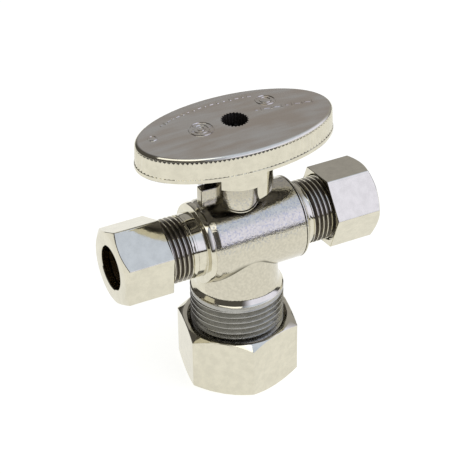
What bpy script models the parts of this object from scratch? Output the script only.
"""Quarter-turn stop valve with one inlet below and two outlets in line.

Water comes up through the inlet compression fitting, into a ball with a T-shaped bore,
and out to both sides.  The oval handle turns the stem, the stem turns the ball.

World frame: +Z up, +X along the run towards the right outlet, -Y towards the front.
The origin is the centre of the inlet nut's lower face.  Every piece is modelled about
the valve centre, where the run axis crosses the stem axis.
"""

from collections import namedtuple
from math import asin, cos, pi, radians, sin, sqrt, tan

import bmesh
import bpy
from mathutils import Matrix

MM = 0.001
VALVE = "quarter_turn_stop_valve"

# ---------------------------------------------------------------- clearances
TUBE_CLEARANCE = 0.15 * MM      # tube in a socket or in a nut's hole
THREAD_CLEARANCE = 0.15 * MM    # crest of a male thread to the nut around it
SEAT_CLEARANCE = 0.30 * MM      # faces that only meet when a joint is made up
RUNNING_CLEARANCE = 0.10 * MM   # turning and sliding pieces
OVERCUT = 1.0 * MM              # how far a cutter runs past a face

# ---------------------------------------------------------------- compression fittings
# The male thread's crest stands thread_wall outside the tube; the nut's flats stand
# nut_wall outside that crest; the flat ring on the nut's outer face ends face_land inside
# the flats.
Fitting = namedtuple("Fitting", [
    "tube_radius", "thread_wall", "thread_chamfer", "nut_height", "nut_wall", "face_land",
    "nut_end_wall", "ferrule_wall", "ferrule_lip", "ferrule_cone", "socket_depth"])

OUTLET = Fitting(
    tube_radius=4.76 * MM, thread_wall=2.38 * MM, thread_chamfer=0.5 * MM, nut_height=11.1 * MM,
    nut_wall=0.86 * MM, face_land=0.24 * MM, nut_end_wall=1.6 * MM, ferrule_wall=1.0 * MM,
    ferrule_lip=0.15 * MM, ferrule_cone=3.1 * MM, socket_depth=9.5 * MM)
INLET = Fitting(
    tube_radius=7.94 * MM, thread_wall=2.38 * MM, thread_chamfer=0.7 * MM, nut_height=14.1 * MM,
    nut_wall=1.68 * MM, face_land=0.60 * MM, nut_end_wall=2.0 * MM, ferrule_wall=1.05 * MM,
    ferrule_lip=0.2 * MM, ferrule_cone=3.9 * MM, socket_depth=15.0 * MM)

NUT_CHAMFER_ANGLE = radians(30)
LEFT_NUT_CORNER = radians(53.96)    # where one corner stands, about the outward axis
RIGHT_NUT_CORNER = radians(23.08)
INLET_NUT_CORNER = radians(41.85)

# ---------------------------------------------------------------- ball, seats and their chamber
BALL_RADIUS = 6.20 * MM
BALL_BORE = 3.0 * MM
CHAMBER_MARGIN = 1.20 * MM          # chamber wall outside the ball
SEAT_BORE = BALL_BORE + 0.4 * MM
SEAT_CONTACT = SEAT_BORE + 1.2 * MM     # outer radius of the face that the ball touches
SEAT_THICKNESS = 2.37 * MM
SEAT_RING_WIRE = 0.55 * MM
SLOT_WIDTH = 2.3 * MM
SLOT_DEPTH = 1.8 * MM
CHAMBER_RADIUS = BALL_RADIUS + CHAMBER_MARGIN
SEAT_RING_RADIUS = (SEAT_BORE + CHAMBER_RADIUS) / 2
SEAT_SPHERE = BALL_RADIUS + RUNNING_CLEARANCE
SLOT_FLOOR = BALL_RADIUS - SLOT_DEPTH


def on_seat_sphere(radius):
    """Distance along the run where a seat of this radius clears the ball."""
    return sqrt(SEAT_SPHERE ** 2 - radius ** 2)


SEAT_FRONT = on_seat_sphere(SEAT_CONTACT)
SEAT_BACK = SEAT_FRONT + SEAT_THICKNESS
CHAMBER_END = SEAT_BACK + SEAT_CLEARANCE

# ---------------------------------------------------------------- body and end adapter
PLUG_MARGIN = 0.30 * MM             # adapter thread outside the chamber wall
BARREL_WALL = 1.50 * MM
BARREL_EDGE = 0.40 * MM
LEFT_WALL = 3.22 * MM               # chamber's end to the barrel's left shoulder
LEFT_NECK = 8.4 * MM                # shoulder to the left nut
PLUG_LENGTH = 5.62 * MM
INLET_PASSAGE_RADIUS = 5.0 * MM
INLET_NECK_STEP = 0.99 * MM         # neck inside the crest of the inlet thread
INLET_NECK_LENGTH = 12.5 * MM
INLET_FLARE = 0.7 * MM
INLET_THREAD_SHOWN = 8.7 * MM
ADAPTER_GAP = 0.15 * MM
ADAPTER_FLANGE = 0.35 * MM
ADAPTER_CHAMFER = 2.3 * MM
ADAPTER_NECK = 5.0 * MM             # flange's chamfer to the right nut
ADAPTER_GROOVE_WIDTH = 1.4 * MM
ADAPTER_GROOVE_SETBACK = 0.55 * MM
ADAPTER_RING_WIRE = 0.50 * MM
PASSAGE_RADIUS = BALL_BORE
ADAPTER_THREAD_RADIUS = CHAMBER_RADIUS + PLUG_MARGIN
BARREL_RADIUS = ADAPTER_THREAD_RADIUS + BARREL_WALL
LEFT_SHOULDER = CHAMBER_END + LEFT_WALL
RIGHT_FACE = CHAMBER_END + PLUG_LENGTH
FLANGE_BACK = RIGHT_FACE + ADAPTER_GAP
FLANGE_FRONT = FLANGE_BACK + ADAPTER_FLANGE
THREAD_STEP = CHAMBER_END - 2 * RUNNING_CLEARANCE

# Distance from the valve centre to the outer face of each compression nut.
LEFT_REACH = LEFT_SHOULDER + LEFT_NECK + OUTLET.nut_height
RIGHT_REACH = FLANGE_FRONT + ADAPTER_CHAMFER + ADAPTER_NECK + OUTLET.nut_height
INLET_REACH = INLET_NECK_LENGTH + INLET_FLARE + INLET_THREAD_SHOWN + INLET.nut_height

# ---------------------------------------------------------------- stem and its collar
STEM_RADIUS = 2.85 * MM
STEM_FLANGE_WIDTH = 0.75 * MM
STEM_FLANGE_THICKNESS = 1.15 * MM
FLANGE_GAP = 0.70 * MM              # top of the ball to the stem's flange
WASHER_THICKNESS = 0.60 * MM
TANG_LENGTH = 5.8 * MM
STEM_RING_WIRE = 0.45 * MM
STEM_GROOVE_DEPTH = 0.90 * MM
STEM_GROOVE_WIDTH = 1.2 * MM
STEM_GROOVE_SPACING = 2.6 * MM
SPLINE_TEETH = 24
SPLINE_DEPTH = 0.25 * MM
SPLINE_SHOULDER = 0.07 * MM
COLLAR_WALL = 1.70 * MM
COLLAR_HEIGHT = 7.8 * MM            # barrel's crown to the collar's top
COLLAR_FOOT_WIDTH = 0.25 * MM
COLLAR_FOOT_HEIGHT = 0.30 * MM
STEM_FLANGE_RADIUS = STEM_RADIUS + STEM_FLANGE_WIDTH
STEM_FLANGE_BOTTOM = BALL_RADIUS + FLANGE_GAP
STEM_FLANGE_TOP = STEM_FLANGE_BOTTOM + STEM_FLANGE_THICKNESS
STEM_BORE = STEM_RADIUS + 1.5 * RUNNING_CLEARANCE
WASHER_BOTTOM = STEM_FLANGE_TOP + RUNNING_CLEARANCE
FLANGE_CEILING = WASHER_BOTTOM + WASHER_THICKNESS + RUNNING_CLEARANCE
COLLAR_RADIUS = STEM_BORE + COLLAR_WALL
COLLAR_TOP = BARREL_RADIUS + COLLAR_HEIGHT
STEM_GROOVE_ROOT = STEM_RADIUS - STEM_GROOVE_DEPTH
SPLINE_CREST = STEM_RADIUS - SPLINE_SHOULDER
SPLINE_BOTTOM = COLLAR_TOP + 4 * RUNNING_CLEARANCE
STEM_GROOVES = {
    "stem_o_ring_upper": COLLAR_TOP - STEM_GROOVE_SPACING,
    "stem_o_ring_lower": COLLAR_TOP - 2 * STEM_GROOVE_SPACING}

# ---------------------------------------------------------------- handle
HANDLE_HALF_LENGTH = 22.7 * MM      # at the bead round the bottom of the skirt
HANDLE_HALF_WIDTH = 12.35 * MM
HANDLE_BEAD = 0.9 * MM
HANDLE_BAND_INSET = 0.70 * MM
HANDLE_RIM_INSET = 0.40 * MM
HANDLE_RIM_HEIGHT = 5.75 * MM       # handle bottom to the edge of the dome
HANDLE_DOME = 0.95 * MM
HANDLE_WALL = 1.5 * MM
HANDLE_CEILING = 4.2 * MM           # handle bottom to the hollow's ceiling
BOSS_LIFT = 1.0 * MM                # collar's top to the boss
BOSS_DROP = 3.6 * MM                # boss below the handle's bottom
BOSS_WALL = 1.75 * MM
WEB_HEIGHT = 5.2 * MM               # boss's lower end to the web under the screw
WEB_THICKNESS = 1.0 * MM
HUB_GAP = 2.2 * MM                  # collar to the hub wall around it
HUB_WALL = 1.2 * MM
HUB_DROP = 1.0 * MM
SKIRT_LIFT = 2.2 * MM               # skirt above the stop lugs
TAB_DROP = 3.1 * MM                 # stop tabs below the skirt
STOP_GAP = radians(4)               # between a tab and its lug at each end of the turn
QUARTER_TURN = radians(90)
TAB_SLOPE = radians(9.5)           # how far round a tab takes to reach its full depth
SKIRT_ARC = radians(56)
SPLINE_SOCKET = SPLINE_CREST + 1.5 * RUNNING_CLEARANCE
BOSS_RADIUS = SPLINE_SOCKET + BOSS_WALL
BOSS_BOTTOM = COLLAR_TOP + BOSS_LIFT
HANDLE_BOTTOM = BOSS_BOTTOM + BOSS_DROP
WEB_BOTTOM = BOSS_BOTTOM + WEB_HEIGHT
WEB_TOP = WEB_BOTTOM + WEB_THICKNESS
STEM_TOP = WEB_BOTTOM - SEAT_CLEARANCE
HUB_INNER = COLLAR_RADIUS + HUB_GAP
HUB_OUTER = HUB_INNER + HUB_WALL
HUB_BOTTOM = HANDLE_BOTTOM - HUB_DROP

# ---------------------------------------------------------------- stop lugs on the body
LUG_HEIGHT = 3.9 * MM               # above the barrel's crown
LUG_FRONT = 0.5 * MM
LEFT_LUG_BACK = 2.0 * MM
RIGHT_LUG_BACK = 2.0 * MM
LEFT_LUG_PAST_HUB = 0.2 * MM
RIGHT_LUG_INTO_HUB = 0.6 * MM
LUG_INNER = COLLAR_RADIUS - BARREL_EDGE
LEFT_LUG_OUTER = HUB_OUTER + LEFT_LUG_PAST_HUB
RIGHT_LUG_OUTER = HUB_INNER + RIGHT_LUG_INTO_HUB
LUG_TOP = BARREL_RADIUS + LUG_HEIGHT
SKIRT_BOTTOM = LUG_TOP + SKIRT_LIFT
TAB_BOTTOM = SKIRT_BOTTOM - TAB_DROP

# ---------------------------------------------------------------- handle screw
SCREW_RADIUS = 1.35 * MM
SCREW_HEAD_WIDTH = 1.05 * MM        # head outside the shank
SCREW_HEAD_HEIGHT = 1.35 * MM
SCREW_LENGTH = 6.4 * MM
SCREW_HOLE_CLEARANCE = 0.15 * MM
SCREW_HOLE_SPARE = 0.5 * MM
WEB_HOLE_CLEARANCE = 0.35 * MM
RECESS_WIDTH = 0.7 * MM
RECESS_LENGTH = 2.7 * MM
RECESS_DEPTH = 0.9 * MM
LOCK_WASHER_THICKNESS = 0.55 * MM
SCREW_HEAD_RADIUS = SCREW_RADIUS + SCREW_HEAD_WIDTH
SCREW_SEAT = WEB_TOP + RUNNING_CLEARANCE + LOCK_WASHER_THICKNESS + RUNNING_CLEARANCE
SCREW_TIP = SCREW_SEAT - SCREW_LENGTH
SCREW_HOLE_BOTTOM = SCREW_TIP - SCREW_HOLE_SPARE

# ---------------------------------------------------------------- facets
ROUND = 32
SMALL_ROUND = 20
BALL_ROUND = 24
RING_WIRE_SIDES = 6
HANDLE_SIDES = 56
HUB_SIDES = 72

LEFT = (0, -pi / 2, 0)      # rotations that turn local +Z outwards
RIGHT = (0, pi / 2, 0)
UP = (0, 0, 0)
DOWN = (pi, 0, 0)

MATERIALS = {
    "polished_chrome": ((0.78, 0.78, 0.77), 0.08, 1.0),
    "cast_chrome": ((0.72, 0.72, 0.71), 0.22, 1.0),
    "brass": ((0.72, 0.55, 0.27), 0.25, 1.0),
    "steel": ((0.50, 0.50, 0.50), 0.30, 1.0),
    "rubber": ((0.03, 0.03, 0.03), 0.70, 0.0),
    "ptfe": ((0.85, 0.85, 0.82), 0.45, 0.0),
}


# ---------------------------------------------------------------- scene and helpers
def clear_scene():
    """Remove every object and start two collections, one for parts and one for cutters."""
    for old in list(bpy.data.objects):
        bpy.data.objects.remove(old, do_unlink=True)
    parts = bpy.data.collections.new(VALVE)
    tools = bpy.data.collections.new("cutters")
    for collection in (parts, tools):
        bpy.context.scene.collection.children.link(collection)
    centre = bpy.data.objects.new("valve_centre", None)
    centre.location = (0, 0, INLET_REACH)
    parts.objects.link(centre)
    return parts, tools, centre


def make_material(name):
    """One Principled material of the named finish."""
    colour, roughness, metallic = MATERIALS[name]
    material = bpy.data.materials.new(name)
    material.use_nodes = True
    shader = material.node_tree.nodes["Principled BSDF"]
    shader.inputs["Base Color"].default_value = (*colour, 1)
    shader.inputs["Roughness"].default_value = roughness
    shader.inputs["Metallic"].default_value = metallic
    return material


def place(name, mesh, finish=None, turn=UP):
    """Put a mesh in the scene about the valve centre: a part if it has a finish, else a tool."""
    thing = bpy.data.objects.new(name, mesh)
    thing.rotation_euler = turn
    thing.parent = CENTRE
    if finish:
        PARTS.objects.link(thing)
        mesh.materials.clear()
        mesh.materials.append(FINISHES[finish])
        mesh.shade_smooth()
        mesh.set_sharp_from_angle(angle=radians(35))
    else:
        TOOLS.objects.link(thing)
        thing.hide_render = True
        thing.display_type = "WIRE"
    return thing


def finish_mesh(name, bm):
    """Turn a bmesh into a mesh with outward normals."""
    bmesh.ops.recalc_face_normals(bm, faces=bm.faces)
    mesh = bpy.data.meshes.new(name)
    bm.to_mesh(mesh)
    bm.free()
    return mesh


def turned(name, outline, finish=None, turn=UP, sides=ROUND, ring=False):
    """Turn an outline of (radius, height) round local Z with a Screw modifier.

    The outline runs down its outer side.  A ring's outline comes back up its bore and
    closes; any other starts and ends on the axis.
    """
    bm = bmesh.new()
    points = [bm.verts.new((radius, 0, height)) for radius, height in outline]
    for first, second in zip(points, points[1:]):
        bm.edges.new((first, second))
    if ring:
        bm.edges.new((points[-1], points[0]))
    mesh = bpy.data.meshes.new(name)
    bm.to_mesh(mesh)
    bm.free()
    thing = place(name, mesh, finish, turn)
    screw = thing.modifiers.new("turn", "SCREW")
    screw.steps = screw.render_steps = sides
    screw.use_merge_vertices = True
    screw.merge_threshold = 0.00001
    screw.use_smooth_shade = True
    return thing


def block(name, low, high, turn=UP):
    """A box tool between two corners."""
    bm = bmesh.new()
    bmesh.ops.create_cube(bm, size=1)
    size = [b - a for a, b in zip(low, high)]
    middle = [(a + b) / 2 for a, b in zip(low, high)]
    bmesh.ops.scale(bm, vec=size, verts=bm.verts)
    bmesh.ops.translate(bm, vec=middle, verts=bm.verts)
    return place(name, finish_mesh(name, bm), turn=turn)


def prism(name, radii, bottom, top, finish=None, turn=UP, first_angle=0):
    """A prism whose corners stand at equal angles, at the radii given in turn."""
    bm = bmesh.new()
    bmesh.ops.create_circle(bm, cap_ends=True, radius=1, segments=len(radii))
    for vertex, radius in zip(bm.verts, radii):
        vertex.co *= radius
    bmesh.ops.rotate(bm, verts=bm.verts, matrix=Matrix.Rotation(first_angle - pi / 2, 3, "Z"))
    bmesh.ops.translate(bm, verts=bm.verts, vec=(0, 0, bottom))
    grown = bmesh.ops.extrude_face_region(bm, geom=bm.faces[:])
    tops = [item for item in grown["geom"] if isinstance(item, bmesh.types.BMVert)]
    bmesh.ops.translate(bm, verts=tops, vec=(0, 0, top - bottom))
    return place(name, finish_mesh(name, bm), finish, turn)


def ring_of_wire(name, radius, wire, height, turn=UP):
    """An O-ring: a torus about local Z."""
    bpy.ops.mesh.primitive_torus_add(
        major_radius=radius, minor_radius=wire, major_segments=SMALL_ROUND, minor_segments=RING_WIRE_SIDES)
    drawn = bpy.context.object
    mesh = drawn.data
    bpy.data.objects.remove(drawn, do_unlink=True)
    mesh.name = name
    mesh.transform(Matrix.Translation((0, 0, height)))
    return place(name, mesh, "rubber", turn)


def combine(thing, tool, operation):
    """Join, cut or intersect with a Boolean modifier."""
    modifier = thing.modifiers.new(operation.lower() + "_" + tool.name, "BOOLEAN")
    modifier.operation = operation
    modifier.object = tool
    modifier.solver = "EXACT"


def add(thing, tool):
    combine(thing, tool, "UNION")


def cut(thing, tool):
    combine(thing, tool, "DIFFERENCE")


# ---------------------------------------------------------------- one compression joint
class Joint:
    """Where the faces of one compression joint lie, measured outwards from the valve centre."""

    def __init__(self, fitting, reach):
        self.fitting = fitting
        self.face = reach
        self.thread_radius = fitting.tube_radius + fitting.thread_wall
        self.nut_apothem = self.thread_radius + fitting.nut_wall
        self.hole_radius = fitting.tube_radius + TUBE_CLEARANCE
        self.ferrule_bore = fitting.tube_radius + TUBE_CLEARANCE / 2
        self.lip_radius = self.ferrule_bore + fitting.ferrule_lip
        self.ferrule_radius = self.ferrule_bore + fitting.ferrule_wall
        self.cone_start = reach - fitting.nut_end_wall
        self.step_radius = self.ferrule_radius + 1.5 * SEAT_CLEARANCE
        self.step = self.cone_start - (self.step_radius - self.hole_radius)
        self.male_end = self.step - SEAT_CLEARANCE
        self.ferrule_outer_end = self.cone_start - SEAT_CLEARANCE
        self.ferrule_inner_end = self.male_end - fitting.ferrule_cone
        self.mouth_radius = self.ferrule_radius + 0.8 * SEAT_CLEARANCE
        self.cone_end = self.ferrule_inner_end - SEAT_CLEARANCE
        self.cone_end_radius = self.lip_radius + 0.8 * SEAT_CLEARANCE
        self.socket_end = self.male_end - fitting.socket_depth
        self.nut_inner_face = reach - fitting.nut_height

    def male_outside(self):
        """The threaded end, from its mouth inwards, at its crest radius."""
        radius, chamfer = self.thread_radius, self.fitting.thread_chamfer
        return [(radius - chamfer, self.male_end), (radius, self.male_end - chamfer)]

    def socket(self, passage):
        """The tube socket from the passage at its bottom out to its mouth."""
        return [
            (passage, self.socket_end), (self.hole_radius, self.socket_end),
            (self.hole_radius, self.cone_end), (self.cone_end_radius, self.cone_end),
            (self.mouth_radius, self.male_end)]


def make_nut(name, joint, corner, turn):
    """A hexagon nut: chamfered round its outer face, coned inside to squeeze the ferrule."""
    fitting = joint.fitting
    corner_radius = joint.nut_apothem / cos(pi / 6)
    face_radius = joint.nut_apothem - fitting.face_land
    nut = prism(name, [corner_radius] * 6, joint.nut_inner_face, joint.face,
                "polished_chrome", turn, corner)
    overshoot = corner_radius * 1.3
    drop = (overshoot - face_radius) * tan(NUT_CHAMFER_ANGLE)
    envelope = turned(name + "_chamfer", [
        (0, joint.face + OVERCUT), (face_radius - OVERCUT / 2, joint.face + OVERCUT),
        (face_radius, joint.face), (overshoot, joint.face - drop),
        (overshoot, joint.nut_inner_face - OVERCUT), (0, joint.nut_inner_face - OVERCUT)], turn=turn)
    combine(nut, envelope, "INTERSECT")
    thread_bore = joint.thread_radius + THREAD_CLEARANCE
    lead_in = fitting.thread_chamfer
    bore = turned(name + "_bore", [
        (0, joint.face + OVERCUT), (joint.hole_radius, joint.face + OVERCUT),
        (joint.hole_radius, joint.cone_start), (joint.step_radius, joint.step),
        (thread_bore, joint.step), (thread_bore, joint.nut_inner_face + lead_in),
        (thread_bore + lead_in + OVERCUT, joint.nut_inner_face - OVERCUT),
        (0, joint.nut_inner_face - OVERCUT)], turn=turn)
    cut(nut, bore)
    return nut


def make_ferrule(name, joint, turn):
    """The brass sleeve that is squeezed onto the tube."""
    outer_corner = joint.ferrule_outer_end - (joint.ferrule_radius - joint.lip_radius)
    return turned(name, [
        (joint.ferrule_bore, joint.ferrule_outer_end), (joint.lip_radius, joint.ferrule_outer_end),
        (joint.ferrule_radius, outer_corner), (joint.ferrule_radius, joint.male_end),
        (joint.lip_radius, joint.ferrule_inner_end), (joint.ferrule_bore, joint.ferrule_inner_end)],
        "brass", turn, ring=True)


# ---------------------------------------------------------------- ball and seats
def make_seat(name, turn):
    """A PTFE ring whose inner edge is hollowed to the ball, grooved behind for its O-ring."""
    groove_half = SEAT_RING_WIRE + RUNNING_CLEARANCE
    groove_floor = SEAT_BACK - 2 * SEAT_RING_WIRE
    outer = CHAMBER_RADIUS - 2 * RUNNING_CLEARANCE
    steps = 2
    contact = []
    for step in range(steps + 1):
        radius = SEAT_CONTACT + (SEAT_BORE - SEAT_CONTACT) * step / steps
        contact.append((radius, on_seat_sphere(radius)))
    return turned(name, [
        (SEAT_BORE, SEAT_BACK), (SEAT_RING_RADIUS - groove_half, SEAT_BACK),
        (SEAT_RING_RADIUS - groove_half, groove_floor), (SEAT_RING_RADIUS + groove_half, groove_floor),
        (SEAT_RING_RADIUS + groove_half, SEAT_BACK), (outer, SEAT_BACK), (outer, SEAT_FRONT),
        *contact], "ptfe", turn, SMALL_ROUND, ring=True)


def make_seat_ring(name, turn):
    """The O-ring that pushes a seat against the ball."""
    middle = SEAT_BACK - SEAT_RING_WIRE + RUNNING_CLEARANCE
    return ring_of_wire(name, SEAT_RING_RADIUS, SEAT_RING_WIRE, middle, turn)


def make_ball():
    """A ball bored through along the run and up from below, slotted on top for the stem."""
    bm = bmesh.new()
    bmesh.ops.create_uvsphere(bm, u_segments=BALL_ROUND, v_segments=BALL_ROUND // 2, radius=BALL_RADIUS)
    ball = place("ball", finish_mesh("ball", bm), "polished_chrome")
    through = turned("ball_through_bore", [
        (0, BALL_RADIUS + OVERCUT), (BALL_BORE, BALL_RADIUS + OVERCUT),
        (BALL_BORE, -BALL_RADIUS - OVERCUT), (0, -BALL_RADIUS - OVERCUT)], turn=RIGHT, sides=SMALL_ROUND)
    inlet = turned("ball_inlet_bore", [
        (0, BALL_RADIUS + OVERCUT), (BALL_BORE, BALL_RADIUS + OVERCUT),
        (BALL_BORE, 0), (0, 0)], turn=DOWN, sides=SMALL_ROUND)
    slot = block("ball_slot", (-SLOT_WIDTH / 2, -BALL_RADIUS - OVERCUT, SLOT_FLOOR),
                 (SLOT_WIDTH / 2, BALL_RADIUS + OVERCUT, BALL_RADIUS + OVERCUT))
    for tool in (through, inlet, slot):
        cut(ball, tool)
    return ball


# ---------------------------------------------------------------- body
def make_body(left, inlet):
    """Barrel, left outlet, inlet leg, stem collar and stop lugs, bored from all four sides."""
    body = turned("valve_body", [
        (0, left.male_end), *left.male_outside(),
        (left.thread_radius, LEFT_SHOULDER), (BARREL_RADIUS - BARREL_EDGE, LEFT_SHOULDER),
        (BARREL_RADIUS, LEFT_SHOULDER - BARREL_EDGE), (BARREL_RADIUS, -RIGHT_FACE + BARREL_EDGE / 2),
        (BARREL_RADIUS - BARREL_EDGE / 2, -RIGHT_FACE), (0, -RIGHT_FACE)], "cast_chrome", LEFT)
    neck_radius = inlet.thread_radius - INLET_NECK_STEP
    neck_inside = BARREL_RADIUS * 0.93
    leg = turned("inlet_leg", [
        (0, inlet.male_end), *inlet.male_outside(),
        (inlet.thread_radius, INLET_NECK_LENGTH + INLET_FLARE), (neck_radius, INLET_NECK_LENGTH),
        (neck_radius, BARREL_RADIUS / 3), (neck_inside, 0), (0, 0)], turn=DOWN)
    foot_radius = COLLAR_RADIUS + COLLAR_FOOT_WIDTH
    foot_top = BARREL_RADIUS + COLLAR_FOOT_HEIGHT
    collar = turned("stem_collar", [
        (0, COLLAR_TOP), (COLLAR_RADIUS - BARREL_EDGE, COLLAR_TOP), (COLLAR_RADIUS, COLLAR_TOP - BARREL_EDGE),
        (COLLAR_RADIUS, foot_top), (foot_radius, foot_top),
        (foot_radius, BARREL_RADIUS * 0.8), (0, BARREL_RADIUS * 0.8)])
    lug_bottom = BARREL_RADIUS * 0.85
    left_lug = block("left_stop_lug", (-LEFT_LUG_OUTER, -LUG_FRONT, lug_bottom),
                     (-LUG_INNER, LEFT_LUG_BACK, LUG_TOP))
    right_lug = block("right_stop_lug", (LUG_INNER, -RIGHT_LUG_BACK, lug_bottom),
                      (RIGHT_LUG_OUTER, LUG_FRONT, LUG_TOP))
    for tool in (leg, collar, left_lug, right_lug):
        add(body, tool)

    run_bore = turned("run_bore", [
        (0, left.male_end + OVERCUT), (left.mouth_radius, left.male_end + OVERCUT),
        *reversed(left.socket(PASSAGE_RADIUS)),
        (PASSAGE_RADIUS, CHAMBER_END), (CHAMBER_RADIUS, CHAMBER_END), (CHAMBER_RADIUS, -THREAD_STEP),
        (ADAPTER_THREAD_RADIUS, -THREAD_STEP), (ADAPTER_THREAD_RADIUS, -RIGHT_FACE - OVERCUT),
        (0, -RIGHT_FACE - OVERCUT)], turn=LEFT)
    inlet_bore = turned("inlet_bore", [
        (0, inlet.male_end + OVERCUT), (inlet.mouth_radius, inlet.male_end + OVERCUT),
        *reversed(inlet.socket(INLET_PASSAGE_RADIUS)),
        (INLET_PASSAGE_RADIUS, CHAMBER_RADIUS * 0.6), (0, CHAMBER_RADIUS * 0.6)], turn=DOWN)
    flange_bore = STEM_FLANGE_RADIUS + 1.5 * RUNNING_CLEARANCE
    stem_bore = turned("stem_bore", [
        (0, COLLAR_TOP + OVERCUT), (STEM_BORE, COLLAR_TOP + OVERCUT), (STEM_BORE, FLANGE_CEILING),
        (flange_bore, FLANGE_CEILING), (flange_bore, CHAMBER_RADIUS * 0.8),
        (0, CHAMBER_RADIUS * 0.8)], sides=SMALL_ROUND)
    for tool in (run_bore, inlet_bore, stem_bore):
        cut(body, tool)
    return body


def make_adapter(right):
    """The right outlet: a plug screwed into the barrel that also holds the ball and seats."""
    plug = ADAPTER_THREAD_RADIUS - THREAD_CLEARANCE
    groove_root = plug - 2.2 * ADAPTER_RING_WIRE
    groove_outer = FLANGE_BACK - ADAPTER_GROOVE_SETBACK
    groove_inner = groove_outer - ADAPTER_GROOVE_WIDTH
    adapter = turned("end_adapter", [
        *right.male_outside(),
        (right.thread_radius, FLANGE_FRONT + ADAPTER_CHAMFER), (BARREL_RADIUS, FLANGE_FRONT),
        (BARREL_RADIUS, FLANGE_BACK), (plug, FLANGE_BACK), (plug, groove_outer), (groove_root, groove_outer),
        (groove_root, groove_inner), (plug, groove_inner), (plug, CHAMBER_END + BARREL_EDGE),
        (plug - BARREL_EDGE, CHAMBER_END), (PASSAGE_RADIUS, CHAMBER_END),
        *right.socket(PASSAGE_RADIUS)], "cast_chrome", RIGHT, ring=True)
    ring_middle = (groove_outer + groove_inner) / 2
    ring_radius = groove_root + 1.2 * ADAPTER_RING_WIRE
    ring_of_wire("adapter_o_ring", ring_radius, ADAPTER_RING_WIRE, ring_middle, RIGHT)
    return adapter


# ---------------------------------------------------------------- stem
def spline_radii(radius):
    """Crest and root radii, one after the other round the spline."""
    return [radius, radius - SPLINE_DEPTH] * SPLINE_TEETH


def make_stem():
    """Tang, flange, two ring grooves and a splined top, threaded for the handle screw."""
    outline = [(0, SPLINE_BOTTOM), (STEM_RADIUS, SPLINE_BOTTOM)]
    for height in STEM_GROOVES.values():
        upper, lower = height + STEM_GROOVE_WIDTH / 2, height - STEM_GROOVE_WIDTH / 2
        outline += [(STEM_RADIUS, upper), (STEM_GROOVE_ROOT, upper),
                    (STEM_GROOVE_ROOT, lower), (STEM_RADIUS, lower)]
    outline += [(STEM_RADIUS, STEM_FLANGE_TOP), (STEM_FLANGE_RADIUS, STEM_FLANGE_TOP),
                (STEM_FLANGE_RADIUS, STEM_FLANGE_BOTTOM), (0, STEM_FLANGE_BOTTOM)]
    stem = turned("stem", outline, "brass", sides=SMALL_ROUND)
    tang_half = SLOT_WIDTH / 2 - RUNNING_CLEARANCE
    tang = block("stem_tang", (-tang_half, -TANG_LENGTH / 2, SLOT_FLOOR + 2 * RUNNING_CLEARANCE),
                 (tang_half, TANG_LENGTH / 2, STEM_FLANGE_BOTTOM + RUNNING_CLEARANCE))
    spline = prism("stem_spline", spline_radii(SPLINE_CREST), SPLINE_BOTTOM - RUNNING_CLEARANCE, STEM_TOP)
    add(stem, tang)
    add(stem, spline)
    tapping = SCREW_RADIUS + SCREW_HOLE_CLEARANCE
    hole = turned("stem_tapped_hole", [
        (0, STEM_TOP + OVERCUT), (tapping, STEM_TOP + OVERCUT),
        (tapping, SCREW_HOLE_BOTTOM), (0, SCREW_HOLE_BOTTOM - tapping / 2)], sides=SMALL_ROUND)
    cut(stem, hole)
    turned("stem_thrust_washer", [
        (STEM_BORE, WASHER_BOTTOM + WASHER_THICKNESS), (STEM_FLANGE_RADIUS, WASHER_BOTTOM + WASHER_THICKNESS),
        (STEM_FLANGE_RADIUS, WASHER_BOTTOM), (STEM_BORE, WASHER_BOTTOM)], "ptfe", sides=SMALL_ROUND, ring=True)
    ring_radius = STEM_GROOVE_ROOT + STEM_RING_WIRE + RUNNING_CLEARANCE / 2
    for name, height in STEM_GROOVES.items():
        ring_of_wire(name, ring_radius, STEM_RING_WIRE, height)
    return stem


# ---------------------------------------------------------------- handle
def stop_angles():
    """Where the stop tabs start and end, found from the faces of the body's lugs.

    The turn is clockwise seen from above.  At its end the front tab and the back tab
    reach the front of the left lug and the back of the right lug.  At rest their other
    ends stand beside the front of the right lug and the back of the left lug.
    """
    lug_face = asin(LUG_FRONT / HUB_INNER)
    front_start = pi + lug_face + STOP_GAP + QUARTER_TURN
    front_end = 2 * pi - asin(RIGHT_LUG_BACK / HUB_INNER) - STOP_GAP
    back_start = lug_face + STOP_GAP + QUARTER_TURN
    back_end = pi - asin(LEFT_LUG_BACK / HUB_INNER) - STOP_GAP
    return (front_start, front_end), (back_start, back_end)


def hub_bottom(angle):
    """Height of the hub's lower edge at an angle counterclockwise from +X."""
    for start, end in stop_angles():
        if start <= angle <= end:
            across = min(angle - start, end - angle) / TAB_SLOPE
            taper = min(1, 0.35 + 1.3 * across)
            return SKIRT_BOTTOM - (SKIRT_BOTTOM - TAB_BOTTOM) * sin(taper * pi / 2)
        if start - SKIRT_ARC <= angle < start:
            return SKIRT_BOTTOM
    return HUB_BOTTOM


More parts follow.
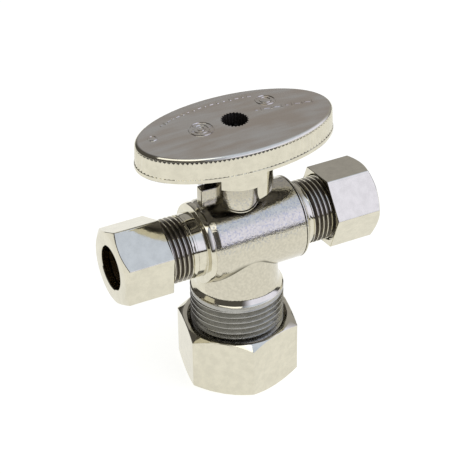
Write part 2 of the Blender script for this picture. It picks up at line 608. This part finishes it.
def oval_rings():
    """The handle's outer skin and hollow as (half length, half width, height) rings."""
    def inset(amount, height):
        return HANDLE_HALF_LENGTH - amount, HANDLE_HALF_WIDTH - amount, HANDLE_BOTTOM + height

    rings = []
    edge_inset = HANDLE_RIM_INSET + 0.9 * MM
    edge_length, edge_width, edge_height = inset(edge_inset, HANDLE_RIM_HEIGHT)
    for share in (0.27, 0.55, 0.75, 0.9, 1.0):
        rings.append((edge_length * share, edge_width * share, edge_height + HANDLE_DOME * (1 - share ** 2)))
    rim_base = HANDLE_RIM_HEIGHT - 1.2 * MM
    rings += [inset(HANDLE_RIM_INSET + 0.25 * MM, HANDLE_RIM_HEIGHT - 0.15 * MM),
              inset(HANDLE_RIM_INSET, HANDLE_RIM_HEIGHT - 0.55 * MM),
              inset(HANDLE_RIM_INSET, rim_base + 0.2 * MM),
              inset(HANDLE_BAND_INSET, rim_base), inset(HANDLE_BAND_INSET, HANDLE_BEAD + 0.2 * MM),
              inset(0, HANDLE_BEAD), inset(0, 0.2 * MM), inset(0.2 * MM, 0),
              inset(HANDLE_WALL, 0), inset(HANDLE_WALL + 0.3 * MM, HANDLE_CEILING)]
    return rings


def make_handle():
    """An oval cap over a splined boss, with a hub skirt that carries the stop tabs."""
    rings = oval_rings()
    bm = bmesh.new()
    made = bmesh.ops.create_circle(bm, cap_ends=True, radius=1, segments=HANDLE_SIDES)
    loop = made["verts"]
    for number, (half_length, half_width, height) in enumerate(rings):
        if number:
            edges = {edge for vertex in loop for edge in vertex.link_edges
                     if all(end in loop for end in edge.verts)}
            grown = bmesh.ops.extrude_edge_only(bm, edges=list(edges))
            loop = [item for item in grown["geom"] if isinstance(item, bmesh.types.BMVert)]
        for vertex in loop:
            reach = sqrt(vertex.co.x ** 2 / before[0] ** 2 + vertex.co.y ** 2 / before[1] ** 2) if number else 1
            along, across = (vertex.co.x / before[0], vertex.co.y / before[1]) if number else vertex.co.xy
            vertex.co = (along / reach * half_length, across / reach * half_width, height)
        before = (half_length, half_width)
    bmesh.ops.holes_fill(bm, edges=[edge for edge in bm.edges if edge.is_boundary])
    handle = place("handle", finish_mesh("handle", bm), "polished_chrome")

    ceiling = HANDLE_BOTTOM + HANDLE_CEILING
    boss = turned("handle_boss", [
        (0, ceiling + BARREL_EDGE), (BOSS_RADIUS, ceiling + BARREL_EDGE),
        (BOSS_RADIUS, BOSS_BOTTOM), (0, BOSS_BOTTOM)])
    add(handle, boss)
    add(handle, make_hub(ceiling + 1.5 * BARREL_EDGE))

    socket_radii = spline_radii(SPLINE_SOCKET)
    socket = prism("handle_spline_socket", socket_radii, BOSS_BOTTOM - OVERCUT, WEB_BOTTOM)
    opening = prism("handle_top_hole", socket_radii, WEB_TOP, HANDLE_BOTTOM + HANDLE_RIM_HEIGHT + 3 * HANDLE_DOME)
    web_radius = SCREW_RADIUS + WEB_HOLE_CLEARANCE
    web_hole = turned("handle_web_hole", [
        (0, WEB_TOP + OVERCUT), (web_radius, WEB_TOP + OVERCUT),
        (web_radius, WEB_BOTTOM - OVERCUT), (0, WEB_BOTTOM - OVERCUT)], sides=SMALL_ROUND)
    for tool in (socket, opening, web_hole):
        cut(handle, tool)
    return handle


def make_hub(top):
    """The hub wall, swept all the way round, its lower edge shaped by angle."""
    bm = bmesh.new()
    corners = [bm.verts.new((radius, 0, height)) for radius, height in (
        (HUB_OUTER, top), (HUB_OUTER, HUB_BOTTOM), (HUB_INNER, HUB_BOTTOM), (HUB_INNER, top))]
    rim = [bm.edges.new((corners[step], corners[(step + 1) % 4])) for step in range(4)]
    bmesh.ops.spin(bm, geom=corners + rim, cent=(0, 0, 0), axis=(0, 0, 1), angle=2 * pi,
                   steps=HUB_SIDES, use_merge=True)
    bmesh.ops.remove_doubles(bm, verts=bm.verts, dist=0.001 * MM)
    for vertex in bm.verts:
        if vertex.co.z < HUB_BOTTOM + 0.1 * MM:
            angle = vertex.co.xy.angle_signed((1, 0)) % (2 * pi)
            vertex.co.z = hub_bottom(angle)
    return place("handle_hub", finish_mesh("handle_hub", bm))


def make_handle_screw():
    """A pan-head screw down into the stem, over a lock washer."""
    screw = turned("handle_screw", [
        (0, SCREW_SEAT + SCREW_HEAD_HEIGHT), (SCREW_HEAD_RADIUS * 0.6, SCREW_SEAT + SCREW_HEAD_HEIGHT),
        (SCREW_HEAD_RADIUS * 0.9, SCREW_SEAT + SCREW_HEAD_HEIGHT * 0.75),
        (SCREW_HEAD_RADIUS, SCREW_SEAT + SCREW_HEAD_HEIGHT * 0.35), (SCREW_HEAD_RADIUS, SCREW_SEAT),
        (SCREW_RADIUS, SCREW_SEAT), (SCREW_RADIUS, SCREW_TIP + SCREW_RADIUS / 2),
        (SCREW_RADIUS / 2, SCREW_TIP), (0, SCREW_TIP)], "steel", sides=SMALL_ROUND)
    top = SCREW_SEAT + SCREW_HEAD_HEIGHT
    half_width, half_length = RECESS_WIDTH / 2, RECESS_LENGTH / 2
    for name, along, across in (("recess_along", half_length, half_width), ("recess_across", half_width, half_length)):
        arm = block(name, (-along, -across, top - RECESS_DEPTH), (along, across, top + OVERCUT))
        cut(screw, arm)
    inner = SCREW_RADIUS + SCREW_HOLE_CLEARANCE
    bottom = WEB_TOP + RUNNING_CLEARANCE
    turned("handle_screw_washer", [
        (inner, bottom + LOCK_WASHER_THICKNESS), (SCREW_HEAD_RADIUS, bottom + LOCK_WASHER_THICKNESS),
        (SCREW_HEAD_RADIUS, bottom), (inner, bottom)], "steel", sides=SMALL_ROUND, ring=True)
    return screw


# ---------------------------------------------------------------- the valve
PARTS, TOOLS, CENTRE = clear_scene()
FINISHES = {finish: make_material(finish) for finish in MATERIALS}

left_joint = Joint(OUTLET, LEFT_REACH)
right_joint = Joint(OUTLET, RIGHT_REACH)
inlet_joint = Joint(INLET, INLET_REACH)

make_body(left_joint, inlet_joint)
make_adapter(right_joint)
make_ball()
for side, turn in (("left", LEFT), ("right", RIGHT)):
    make_seat("seat_ring_" + side, turn)
    make_seat_ring("seat_o_ring_" + side, turn)
make_stem()
make_handle()
make_handle_screw()
for port, joint, corner, turn in (
        ("outlet_left", left_joint, LEFT_NUT_CORNER, LEFT),
        ("outlet_right", right_joint, RIGHT_NUT_CORNER, RIGHT),
        ("inlet", inlet_joint, INLET_NUT_CORNER, DOWN)):
    make_nut(port + "_nut", joint, corner, turn)
    make_ferrule(port + "_ferrule", joint, turn)
